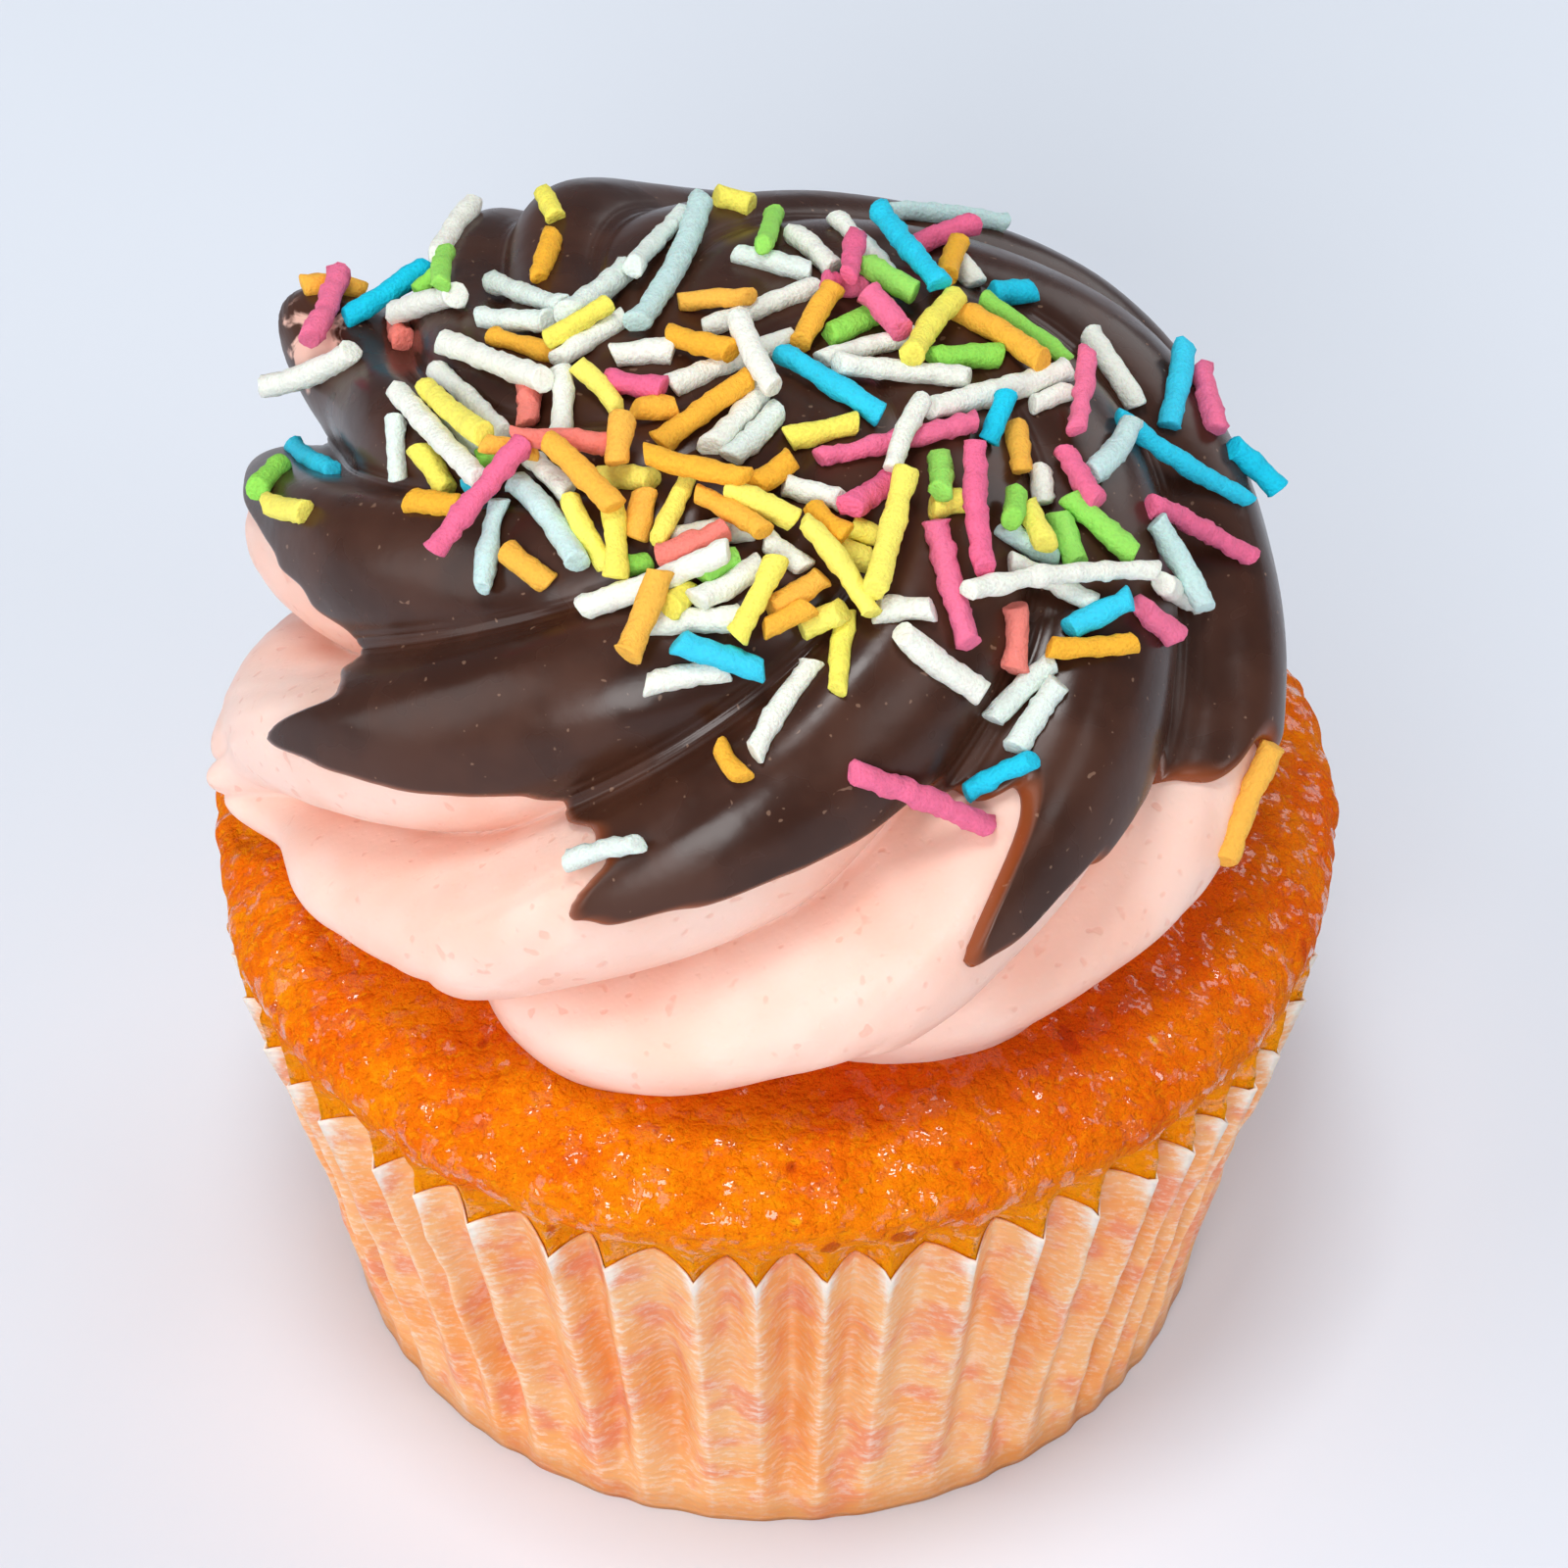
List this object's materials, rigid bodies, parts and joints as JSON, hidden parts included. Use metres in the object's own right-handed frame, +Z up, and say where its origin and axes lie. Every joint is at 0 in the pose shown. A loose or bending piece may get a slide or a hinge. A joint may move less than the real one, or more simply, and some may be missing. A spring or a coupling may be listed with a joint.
{
  "type": "cupcake",
  "caption": "Cupcake in a pleated paper case: domed orange sponge, a piped swirl of pale pink buttercream and a poured chocolate coat strewn with coloured sugar sprinkles.",
  "frame": {"origin": "on the table, under the middle of the paper case's round base", "axes": "+Z up out of the cake; -Y towards the side that the picture shows, +X to its right, so the pulled tail of buttercream points to -X"},
  "size_m": [0.0688, 0.0688, 0.0738],
  "materials": {
    "baking_paper": "thin greaseproof paper, pleated, stained by the cake behind it",
    "sponge": "baked crumb crust, moist and slightly glossy",
    "buttercream": "smooth piped cream, satin, with small air holes",
    "chocolate": "set poured chocolate, satin, with matte sugar sprinkles fused on"
  },
  "bodies": {
    "root": {"paper_case": "baking_paper", "sponge_cake": "sponge", "buttercream": "buttercream", "chocolate_coat": "chocolate"}
  },
  "joints": []
}
